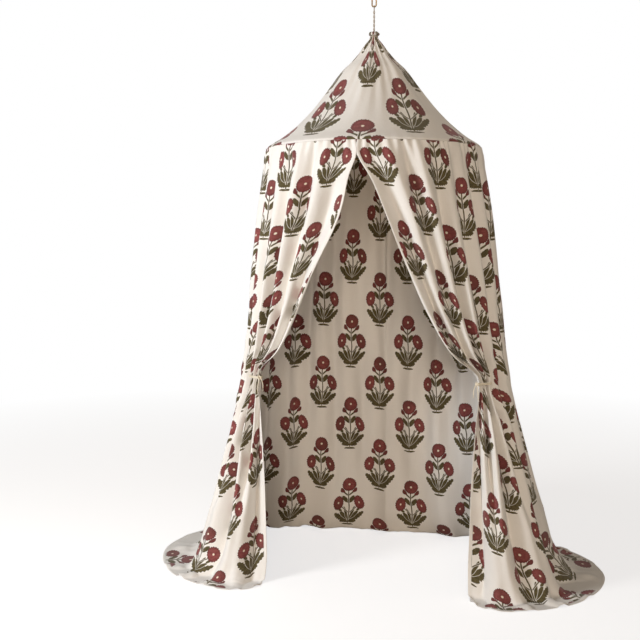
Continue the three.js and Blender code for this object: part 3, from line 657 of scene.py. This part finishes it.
roof_bm = bmesh.new()
fall_layer = roof_bm.verts.layers.float.new("fall")
for corner, down in zip(outline(roof_bm, cone_line[:, ::-1]), fall):
    corner[fall_layer] = down
spin_round(roof_bm, 288)
roof_long = slant[-1]
knob_long = 0.03
for vert in roof_bm.verts:
    down = vert[fall_layer]
    turn = np.arctan2(vert.co.x, -vert.co.y)
    share = min(max((down - 0.04) / (roof_long - 0.055), 0), 1)
    loose = 1 - np.exp(-((roof_long - down) / 0.02))
    pleats = cos(22 * turn + 1.3 * sin(3 * turn))
    panels = 0.005 * sin(pi * share) * cos(8 * turn) * loose
    neck_pleats = 0.0025 * np.exp(-max(down - 0.045, 0) / 0.13) * pleats
    soft_folds = 0.0042 * sin(pi * min(share * 1.1, 1)) * loose * (
        cos(13 * turn + 2.2 * sin(2 * turn + 0.6)) * 0.5 + cos(5 * turn + 1.9) * 0.5
        + 0.35 * cos(29 * turn + 2 * sin(3 * turn) + 6 * share))
    hem_gathers = 0.0011 * np.exp(-((roof_long - down - 0.022) / 0.022) ** 2) * cos(
        64 * turn + 3 * sin(5 * turn))
    swell = panels + neck_pleats + soft_folds + hem_gathers
    if down < knob_long:
        swell += 0.0024 * sin(pi * down / knob_long) * cos(15 * turn + sin(4 * turn))
        vert.co.z += 0.0016 * sin(pi * down / knob_long) * sin(9 * turn + 1)
    radius = (vert.co.x**2 + vert.co.y**2) ** 0.5
    vert.co.x *= (radius + swell) / radius
    vert.co.y *= (radius + swell) / radius
roof_flat = roof_bm.loops.layers.uv.new("flat_cut")
gather_radius, motifs_round = 0.336, 6
print_turn, print_top, print_shrink, pulled_at_neck = 0.026, 0.207, 0.853, 0.043
roof_cell = tau * gather_radius / motifs_round


def on_roof_cut(turn, down):
    """Where the roof's cloth was in its flat cut, before it was drawn in and up to the neck"""
    across = gather_radius * (turn - print_turn) * np.interp(down, (0.3, 0.62), (0.79, 1))
    pleat = 0.5 + 0.5 * cos(tau * across / roof_cell)
    pulled_up = pulled_at_neck * pleat * min(max((0.5 - down) / 0.16, 0), 1)
    return across, print_shrink * (print_top - down - pulled_up)


for face in roof_bm.faces:
    face.smooth = True
    on_knob = face.calc_center_median().z > neck_top
    for loop, turn in turns_of(face):
        down = loop.vert[fall_layer]
        loop[roof_flat].uv = ((0.2 * turn, 0.15 - 1.5 * down) if on_knob
                              else on_roof_cut(turn, down))
bmesh.ops.recalc_face_normals(roof_bm, faces=roof_bm.faces)
roof_cotton = printed_cotton("printed cotton of the roof", roof_cell, 0.4436, 1.2)
roof = put_on_show("printed_cone_roof", finished_mesh("cone roof", roof_bm), roof_cotton)


def give_thickness(obj, thickness):
    """A wall of this thickness, half of it on each side of the mesh"""
    wall = obj.modifiers.new("cloth thickness", "SOLIDIFY")
    wall.thickness = thickness
    wall.offset = 0
    wall.use_rim = True


folded_edge_thickness, drape_thickness = 0.0012, 0.0011
give_thickness(roof, folded_edge_thickness)
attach(roof, "canopy")
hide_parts("cone_roof")


# Neck binding: three tight turns of thin cotton cord that hold the cloth in the plug's groove.
# It is laid from two strands and wound downwards, each turn close under the last.
binding_radius, binding_top, binding_pitch, binding_turns = 0.0167, -0.2355, 0.0018, 3.15
wind = np.linspace(0, tau * binding_turns, 220)
binding_line = np.stack([binding_radius * np.sin(wind), -binding_radius * np.cos(wind),
                         binding_top - binding_pitch * wind / tau], axis=1)
binding = put_on_show(
    "wound_neck_binding",
    laid_cord("neck binding", binding_line, diameter=0.0021, strands=2, lay=4), cord_cotton)
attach(binding, "canopy")
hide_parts("neck_binding")


# Casing: a strip of the same cotton sewn round the hoop into a channel, a little puckered, with
# its mouth on the inner side.
casing_radius = 0.0091
casing_bm = bmesh.new()
# The mouth is 60 degrees wide
outline(casing_bm, [
    (hoop_radius + casing_radius * cos(turn), hoop_height + casing_radius * sin(turn))
    for turn in np.linspace(pi / 6 + pi, 11 * pi / 6 + pi, 21)])
spin_round(casing_bm, 240)
casing_flat = casing_bm.loops.layers.uv.new("flat_cut")
for face in casing_bm.faces:
    face.smooth = True
    for loop, turn in turns_of(face):
        co = loop.vert.co
        round_hoop = np.arctan2(co.z - hoop_height, (co.x**2 + co.y**2) ** 0.5 - hoop_radius)
        loop[casing_flat].uv = (hoop_radius * turn, 0.12 + casing_radius * round_hoop)
for vert in casing_bm.verts:
    turn = np.arctan2(vert.co.x, -vert.co.y)
    pucker = 1 + 0.03 * cos(70 * turn + 2 * sin(6 * turn))
    centre = Vector((vert.co.x, vert.co.y, 0)).normalized() * hoop_radius
    centre.z = hoop_height
    vert.co = centre + (vert.co - centre) * pucker
bmesh.ops.recalc_face_normals(casing_bm, faces=casing_bm.faces)
drape_cotton = printed_cotton("printed cotton of the drapes", 0.29, 0.4, 1.0)
casing = put_on_show("sewn_hoop_casing", finished_mesh("hoop casing", casing_bm), drape_cotton)
give_thickness(casing, folded_edge_thickness)
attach(casing, "canopy")
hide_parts("hoop_casing")


# Drapes: four lengths of the same cotton, gathered under the hoop. The front pair part at a
# slit and are drawn back to the sides; all four spread onto the floor. Edges are turned hems.
seam_radius, skirt_top, tie_height = 0.4612, -0.7213, -1.705
tie_top, tie_low = tie_height + 0.008, tie_height - 0.008
run_to_tie, run_past_tie, tie_run = 0.969, 0.985, 0.977

# Places from the slit (0) to the middle of the back (1): [share, x, y] at the tie, where the
# cloth meets the floor, and at its hem
at_tie = np.array([
    [0, 0.8, -0.3], [0.08, 0.82, -0.28], [0.16, 0.845, -0.26], [0.3, 0.895, -0.215],
    [0.42, 0.98, -0.05], [0.5, 1, 0.14], [0.56, 0.98, 0.32], [0.65, 0.88, 0.52],
    [0.8, 0.54, 0.76], [1, 0, 0.83]]) * (1, 0.585, 0.585)
at_floor = np.array([
    [0, 0.56, -0.215], [0.08, 0.63, -0.26], [0.16, 0.735, -0.265], [0.26, 0.86, -0.235],
    [0.36, 0.96, -0.12], [0.44, 1, 0.05], [0.5, 1, 0.22], [0.56, 0.96, 0.39],
    [0.65, 0.83, 0.55], [0.8, 0.48, 0.66], [1, 0, 0.68]]) * (1, 0.79, 0.79)
at_hem = np.array([
    [0, 0.437, -0.262], [0.08, 0.505, -0.31], [0.16, 0.602, -0.32], [0.26, 0.748, -0.262],
    [0.36, 0.874, -0.165], [0.44, 0.97, 0], [0.5, 1, 0.175], [0.56, 0.94, 0.37],
    [0.65, 0.777, 0.534], [0.8, 0.447, 0.63], [1, 0, 0.65]]) * (1, 1.03, 1.03)
# Above the tie: [share of the drop, fold]. Below it: [share of the height above the floor, way
# from tie to landing, way from landing to hem, fold]
upper_rows = [(0, 0.16), (0.13, 0.5), (0.3, 0.74), (0.5, 0.8), (0.7, 0.8), (0.87, 0.74),
              (1, 0.72)]
lower_rows = [(1, 0, 0, 0.72), (0.82, 0.2, 0, 0.85), (0.62, 0.42, 0, 1), (0.42, 0.62, 0, 1),
              (0.24, 0.8, 0.02, 1), (0.1, 0.95, 0.1, 0.85), (0.025, 1, 0.3, 0.6),
              (0, 1, 0.65, 0.47), (0, 1, 1, 0.34)]
row_runs = np.array(
    [drop * run_to_tie for drop, _ in upper_rows]
    + [run_past_tie + (1 - height) * 0.897 for height, *_ in lower_rows[:-2]] + [1.98, 2.09])
fold_depth, folds_to_back, steepest_fold = 0.032, 12.5, 0.62
fold_rows = np.c_[row_runs, [row[-1] * fold_depth for row in upper_rows + lower_rows]]
fold_rows = np.vstack([(0, 0.0012), (0.013, 0.0024), (0.05, 0.008), fold_rows[1:]])


def mirrored_back(places):
    """The places and one more, past the middle of the back"""
    before, last = places[-2], places[-1]
    return np.vstack([places, [2 * last[0] - before[0], -before[1], before[2]]])


def across_skirt(places, share):
    """x and y through the places, going on alike past the middle of the back"""
    known = mirrored_back(places)
    at, value = known[:, 0], known[:, 1:]
    slope = np.empty_like(value)
    slope[1:-1] = (value[2:] - value[:-2]) / (at[2:] - at[:-2])[:, None]
    slope[0], slope[-1] = (value[1] - value[0]) / (at[1] - at[0]), slope[-2]
    k = np.clip(np.searchsorted(at, share, side="left") - 1, 0, len(at) - 3)
    width = (at[k + 1] - at[k])[:, None]
    part = ((share - at[k]) / width[:, 0])[:, None]
    return curve_between(value, slope, k, width, part)


def spread_out(share):
    """The cloth lies wider at the front of the floor than at the tie"""
    return share + 0.5 * share * (1 - share) ** 2


def in_the_tie(share):
    """1 for cloth that the tie holds, falling to 0 for cloth that hangs past it"""
    return np.clip((0.46 - share) / 0.16, 0, 1)


def plain_skirt(share, run):
    """The skirt without its folds, at every run down and every share round"""
    waist = across_skirt(at_tie, share)
    landing, hem = (across_skirt(places, spread_out(share)) for places in (at_floor, at_hem))
    brim = seam_radius * np.stack([np.sin(pi * share), -np.cos(pi * share)], axis=1)
    rows = []
    pull = 0.22 * np.maximum(0, 1 - share / 0.45)
    for drop, _ in upper_rows:
        sweep = (drop + pull * (drop**7 - drop))[:, None]
        height = skirt_top + drop * (tie_top - skirt_top)
        rows.append(np.c_[brim + sweep * (waist - brim), np.full(len(share), height)])
    for above_floor, landed, spread, _ in lower_rows:
        flat = waist + landed * (landing - waist) + spread * (hem - landing)
        height = floor_height + above_floor * (tie_low - floor_height)
        rows.append(np.c_[flat, np.full(len(share), height)])
    rows = np.array(rows).reshape(len(row_runs), -1)
    known = np.c_[row_runs, rows]
    tied = smooth_through(known, run).reshape(len(run), len(share), 3)
    tie_rows = (6, 7)
    passing = smooth_through(np.delete(known, tie_rows, axis=0), run).reshape(tied.shape)
    base = passing + in_the_tie(share)[None, :, None] * (tied - passing)
    closed = np.exp(-(run / 0.085) ** 2)[:, None] * np.clip(1 - share / 0.15, 0, 1) ** 2
    slit_slope = 0.61
    base[:, :, 0] -= slit_slope * run[:, None] * closed
    return base


def folded_skirt(share, run):
    """The skirt's cloth with its folds: points, and how far down the cloth each of them lies"""
    step = 1e-3
    beyond = np.concatenate([[share[0] - step], share, [share[-1] + step]])
    base = plain_skirt(beyond, run)
    down = np.gradient(base, run, axis=0)
    across = np.gradient(base, beyond, axis=1)
    outward = np.cross(down, across)
    outward /= np.linalg.norm(outward, axis=2)[:, :, None]
    pitch = np.linalg.norm(across, axis=2)[:, 1:-1] / folds_to_back
    base, outward = base[:, 1:-1], outward[:, 1:-1]
    long = np.concatenate([np.zeros((1, len(share))), np.cumsum(
        np.linalg.norm(np.diff(base, axis=0), axis=2), axis=0)])
    # s is the share round and r the run down, for every point
    s, r = np.meshgrid(share, run)
    still = in_the_tie(s) * np.exp(-((r - tie_run) / 0.14) ** 2)
    free = 1 - still
    depth = smooth_through(fold_rows, run)[:, :1]
    depth = np.minimum(depth, steepest_fold * pitch)
    depth = depth * (1 - 0.4 * np.clip((s - 0.52) / 0.16, 0, 1))
    phase = tau * folds_to_back * s + free * 1.3 * ripple(s * 9, r * 1.5 + 3, 3)
    swell = 1 + 0.5 * free * ripple(s * 12.5 + 0.5, r * 1.4, 5)
    merged = np.clip((r - 1.0) / 0.6, 0, 1) ** 2 * np.clip((2 - r) / 0.2, 0.3, 1)
    gathered = np.exp(-r / 0.085)
    reach = np.hypot((s - 0.27) * 1.7, r - tie_run)
    about = np.arctan2(r - tie_run, (s - 0.27) * 1.7)
    pooled = np.clip((r - 1.78) / 0.12, 0, 1)
    hanging = (depth * swell * (1 - 0.72 * merged)
               * (np.cos(phase) - 0.13 * free * np.cos(2 * phase)))
    doubled = 1.15 * depth * merged * np.cos(phase / 2 + 0.9 * ripple(s * 5, r * 1.3, 17) + 1.2)
    brim_gathers = 0.004 * gathered * np.cos(tau * 38 * s + 3 * ripple(s * 26, r, 8))
    heading = 0.004 * np.exp(-((r - 0.035) / 0.03) ** 2)
    waves = 0.0035 * free * np.sin(np.clip(r / 0.95, 0, 1) * pi) * ripple(s * 34, r * 2.2, 12)
    creases = 0.0016 * free * (1 - gathered) * (ripple(s * 80, r * 2.5, 41)
                                                + 1.2 * ripple(s * 26 + r * 4, r * 7, 43))
    fan = (0.006 * np.exp(-reach / 0.22) * np.clip(reach / 0.06, 0, 1) * free
           * (np.cos(11 * about + 2 * ripple(s * 11, r * 4, 21))
              + 0.45 * np.cos(23 * about + 2.5 * ripple(s * 17, r * 5, 24))))
    on_floor = (0.009 * pooled * ripple(s * 34, r * 9, 31)
                + 0.005 * pooled * ripple(s * 70, r * 16, 33))
    fold = hanging + doubled + brim_gathers + heading + waves + creases + fan + on_floor
    points = base + outward * fold[:, :, None]
    points[:, :, 2] = np.maximum(points[:, :, 2], floor_height + 0.001)
    return points, long


# How the grain runs in the front drapes: [run down, metres of cloth for the whole share, share
# of a motif]. The left one's inner edge hangs fuller under the brim.
grain_rows = {
    "right": [(0, 1.76, 0.048), (0.8, 1.7, 0.045), (1.3, 1.47, 0.102), (2.1, 1.45, 0.104)],
    "left": [(0, 1.8, 0.05), (0.4, 1.76, 0.06), (0.6, 1.72, 0.085), (0.8, 1.7, 0.13),
             (1.3, 1.5, 0.15), (2.1, 1.45, 0.15)],
}
inner_edge_fuller = {"right": 0, "left": 0.038}
back_width, back_motif, back_shrink = 1.64, 0.179, 0.946
front_print_top, back_print_top = 0.066, 0.042
side_hem, floor_hem = 0.0115, 0.016
cloth_rows = 176


def make_drape(part, hand, side, shares):
    """One length of cloth over these shares of the half round, on the right (1) or left (-1)"""
    # Rows lie closer at the brim and at the tie
    pace = np.linspace(0, row_runs[-1], 2000)
    care = 1 + 2.5 * np.exp(-pace / 0.05) + 2 * np.exp(-((pace - tie_run) / 0.05) ** 2)
    spent = np.concatenate([[0], np.cumsum((care[1:] + care[:-1]) / 2 * np.diff(pace))])
    runs = np.interp(np.linspace(0, spent[-1], cloth_rows), spent, pace)
    points, long = folded_skirt(shares, runs)
    if part == "front":
        # How far the inner edge moves towards the slit, most between the brim and the tie
        straighter = (inner_edge_fuller[hand] * np.exp(-((runs - 0.28) / 0.18) ** 2)
                      * (1 - np.exp(-(runs / 0.11) ** 2)))[:, None]
        straighter = straighter * np.clip(1 - shares / 0.2, 0, 1) ** 2
        points[:, :, 0] -= straighter
        wide, first = smooth_through(grain_rows[hand], runs).T[:, :, None]
        across = side * (wide * (shares[None, :] - first) - straighter)
        down = front_print_top - long
    else:
        across = np.broadcast_to(side * back_width * (1 - shares) + back_motif, long.shape)
        down = back_print_top - back_shrink * long
    flat = np.stack([across, down], axis=2)
    name = f"{part}_drape_cloth_{hand}"
    cloth = bmesh.new()
    columns, rows = len(shares) - 1, len(runs) - 1
    bmesh.ops.create_grid(cloth, x_segments=columns, y_segments=rows, size=0.5)
    hem = cloth.verts.layers.float.new("hem")
    uv = cloth.loops.layers.uv.new("flat_cut")
    places = {}
    for vert in cloth.verts:
        i = round((vert.co.x + 0.5) * columns)
        j = round((0.5 - vert.co.y) * rows)
        places[vert] = (j, i)
    for vert, (j, i) in places.items():
        x, y, z = points[j, i]
        vert.co = (side * x, y, z)
        from_edge = abs(flat[j, i, 0] - flat[j, 0, 0]) if part == "front" else 1
        from_floor_edge = flat[j, i, 1] - flat[-1, i, 1]
        vert[hem] = float(from_edge < side_hem or from_floor_edge < floor_hem)
    for face in cloth.faces:
        face.smooth = True
        for loop in face.loops:
            loop[uv].uv = flat[places[loop.vert]]
    if side < 0:
        bmesh.ops.reverse_faces(cloth, faces=cloth.faces)
    obj = put_on_show(name, finished_mesh(name, cloth), drape_cotton)
    give_thickness(obj, drape_thickness)
    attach(obj, "canopy")
    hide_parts(f"{part}_{hand}_drape")
    return obj


slit_share, seam_share = 0.0021, 0.56
front_shares = np.concatenate([
    slit_share + np.array([0, 0.0024, 0.0047, 0.0065, 0.0074]),
    np.linspace(slit_share + 0.0097, seam_share, 186)])
back_shares = np.linspace(seam_share, 1, 140)
for side, hand in ((1, "right"), (-1, "left")):
    front = make_drape("front", hand, side, front_shares)
    back = make_drape("back", hand, side, back_shares)


# Tie-backs: a doubled cream cord, sewn to the cloth at both ends and drawn tight round the front
# of its drape. An overhand knot sits at the front inner corner, with two short frayed ends.
tie_cotton = cord_cotton.copy()
tie_cotton.name = "cream tie cord"
for node in tie_cotton.node_tree.nodes:
    if node.type == "MIX":
        for socket, cream in (("A", (0.7, 0.61, 0.46, 1)), ("B", (0.97, 0.91, 0.77, 1))):
            next(s for s in node.inputs
                 if s.name == socket and s.type == "RGBA").default_value = cream
tie_diameter, cord_rise = 0.005, 0.00265
tail_reach, knot_seat, knot_out, tail_threads = 0.055, 0.005, 0.0045, 9
tie_seat = 0.0032 + tie_diameter / 2
bunch_share = slit_share + 0.5 * (seam_share - slit_share)
neck_run = np.linspace(run_to_tie, run_past_tie, 3)
bunch_cloth = folded_skirt(np.linspace(slit_share, bunch_share, 240), neck_run)[0][1, :, :2]
leaving_cloth = folded_skirt(np.linspace(bunch_share, seam_share, 160), neck_run)[0][1, :, :2]
corners = bunch_cloth[geometry.convex_hull_2d([tuple(p) for p in bunch_cloth])]
ring = []
for before, here, after in zip(np.roll(corners, 1, axis=0), corners,
                               np.roll(corners, -1, axis=0)):
    turns = [np.arctan2(-(b - a)[0], (b - a)[1]) for a, b in ((before, here), (here, after))]
    swing = (turns[1] - turns[0]) % tau
    for part in np.linspace(0, 1, 4):
        turn = turns[0] + part * swing
        ring.append(here + tie_seat * np.array([cos(turn), sin(turn)]))
ring = evenly(np.c_[np.vstack([ring, ring[:1]]), np.zeros(len(ring) + 1)], 0.002)[:-1, :2]
clear = np.array([np.linalg.norm(leaving_cloth - spot, axis=1).min() > tie_seat
                  for spot in ring])
start = max(range(len(ring)), key=lambda i: clear[i] and not clear[i - 1])
ring, clear = np.roll(ring, -start, axis=0), np.roll(clear, -start)
tie_line = ring[clear]
lean = tie_line @ np.array([0.8, 0.6])
knot_at = tie_line[lean.argmin()]
outwards = knot_at - bunch_cloth.mean(axis=0)
outwards /= np.linalg.norm(outwards)
sideways = np.array([-outwards[1], outwards[0]])
# A tail's shares outwards, sideways and down
tail_shares = [(0.02, 0, 0.02), (0.13, 0.07, 0.05), (0.2, 0.12, 0.25), (0.22, 0.2, 0.6),
               (0.2, 0.22, 1)]


def frayed_tail(way, length, side):
    """A cord end that hangs from the knot, with its strands come apart at the tip"""
    spots = []
    for out, across, down in tail_shares:
        spot = (knot_at + outwards * (knot_seat + out * tail_reach)
                + way * sideways * across * tail_reach)
        spots.append(np.array([*spot, tie_height - down * length]) * (side, 1, 1))
    line = smooth_through(np.c_[np.arange(len(spots)), spots], np.linspace(0, len(spots) - 1, 40))
    pieces = [laid_cord("tail", line, tie_diameter * 0.92)]
    tip = line[-1]
    for i in range(tail_threads):
        turn = tau * i / tail_threads + 0.4
        spread = 0.0028 + 0.0012 * sin(5 * i)
        out = np.array([cos(turn) * spread, sin(turn) * spread, -0.011 - 0.002 * cos(3 * i)])
        way_out = [tip + (0, 0, 0.003), tip + out * (0.45, 0.45, 0.4), tip + out]
        pieces.append(laid_cord("thread", way_out, diameter=0.0011, strands=1, lay=8, sides=1))
    return pieces


for side, hand in ((1, "right"), (-1, "left")):
    for place, rise in (("", -cord_rise), ("_upper", cord_rise)):
        line = np.c_[tie_line * (side, 1), np.full(len(tie_line), tie_height + rise)]
        cord = put_on_show(f"cotton_tie_{hand}{place}",
                           laid_cord(f"tie {hand}", line, tie_diameter), tie_cotton)
        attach(cord, "canopy")
        evenly(line, 0.0015).tolist()
        if rise < 0:
            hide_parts(f"tie_cord_{hand}")
    middle = (*((knot_at + outwards * knot_out) * (side, 1)), tie_height)
    facing = outwards * (side, 1)
    knot_line = knotted(middle, reach=0.0088, height=0.0062, facing=facing)
    knot_parts = [laid_cord("knot", knot_line, tie_diameter)]
    knot_parts += frayed_tail(1, 0.055, side) + frayed_tail(-1, 0.046, side)
    knot = put_on_show(f"cotton_tie_knot_{hand}", joined(f"tie knot {hand}", knot_parts),
                       tie_cotton)
    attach(knot, "canopy")
    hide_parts(f"tie_knot_{hand}")
